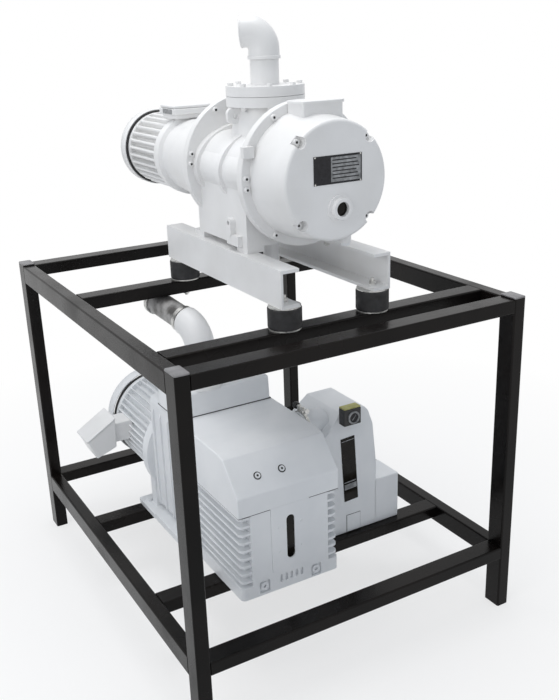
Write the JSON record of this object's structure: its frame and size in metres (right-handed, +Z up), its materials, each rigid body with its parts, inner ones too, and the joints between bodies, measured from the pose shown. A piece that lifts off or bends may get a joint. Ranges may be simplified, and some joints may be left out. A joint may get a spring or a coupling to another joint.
{
  "type": "roots vacuum pump",
  "caption": "Roots vacuum pump on a welded tube stand, with a rotary vane backing pump, exhaust filter and suction line beneath it.",
  "frame": {"origin": "on the floor, under the middle of the stand", "axes": "+Z up, +Y from the gear cover at the front to the motors at the rear, +X to the right seen from the front"},
  "size_m": [1.06, 1.3, 1.765],
  "materials": {
    "black_paint": "gloss black paint over steel tube",
    "black_plastic": "black plastic",
    "cap_grey": "bare grey steel cap",
    "dark_cast": "machined cast iron",
    "fan_plastic": "black plastic fan",
    "filter_media": "pleated filter medium",
    "gasket": "black flat gasket",
    "hose": "grey streaked plastic hose",
    "light_grey_paint": "satin light grey paint over cast aluminium and sheet",
    "rubber": "matt black rubber",
    "sight": "dark oil sight glass",
    "steel": "machined steel",
    "white_paint": "satin white paint over cast iron and steel",
    "zinc": "bright zinc-plated steel"
  },
  "bodies": {
    "pump_set": {"posts": "black_paint", "post_caps": "cap_grey", "crossbars": "black_paint", "side_bars": "black_paint", "left_rail": "white_paint", "right_rail": "white_paint", "rubber_mounts": "rubber", "mount_studs": "zinc", "rail_fasteners": "zinc", "roots_casing": "white_paint", "front_end_plate": "white_paint", "rear_end_plate": "white_paint", "rotor_bearings": "steel", "roots_screws": "white_paint", "gear_cover": "white_paint", "filler_box_lid": "white_paint", "sight_glass_ring": "white_paint", "sight_glass": "sight", "lantern": "white_paint", "motor_housing": "white_paint", "terminal_box": "white_paint", "motor_cowl": "white_paint", "inlet_gasket": "gasket", "inlet_flange": "white_paint", "inlet_flange_bolts": "zinc", "inlet_collar": "white_paint", "inlet_elbow": "white_paint", "suction_elbow": "white_paint", "suction_hose": "hose", "hose_clamps": "zinc", "vacuum_line": "white_paint", "oil_case": "light_grey_paint", "front_panel": "light_grey_paint", "oil_window": "sight", "hood": "light_grey_paint", "case_screws": "light_grey_paint", "pump_module": "light_grey_paint", "port_block": "light_grey_paint", "motor_bell": "light_grey_paint", "backing_motor": "light_grey_paint", "backing_motor_cowl": "light_grey_paint", "backing_terminal_box": "white_paint", "filter_housing": "light_grey_paint", "filter_element": "filter_media", "filter_window": "sight", "oil_plugs": "light_grey_paint", "filter_gauge": "black_plastic", "exhaust_pipe": "light_grey_paint", "exhaust_clamp": "zinc"},
    "drive_shaft": {"drive_rotor": "dark_cast", "drive_timing_gear": "steel", "shaft_coupling": "steel", "motor_shaft": "steel", "motor_fan": "fan_plastic"},
    "driven_shaft": {"driven_rotor": "dark_cast", "driven_timing_gear": "steel"},
    "backing_shaft": {"vane_rotor": "steel", "rotor_vanes": "black_plastic", "backing_motor_shaft": "steel", "backing_motor_fan": "fan_plastic"}
  },
  "joints": [
    {"name": "drive_rotor_spin", "type": "hinge", "parent": "pump_set", "child": "drive_shaft", "pos_m": [-0.064, -0.2, 1.359], "axis": [0, 1, 0], "continuous": true},
    {"name": "driven_rotor_spin", "type": "hinge", "parent": "pump_set", "child": "driven_shaft", "pos_m": [0.046, -0.2, 1.359], "axis": [0, 1, 0], "continuous": true},
    {"name": "backing_rotor_spin", "type": "hinge", "parent": "pump_set", "child": "backing_shaft", "pos_m": [-0.143, 0, 0.404], "axis": [0, 1, 0], "continuous": true}
  ],
  "couplings": [
    {"joint": "driven_rotor_spin", "follows": "drive_rotor_spin", "ratio": -1}
  ]
}
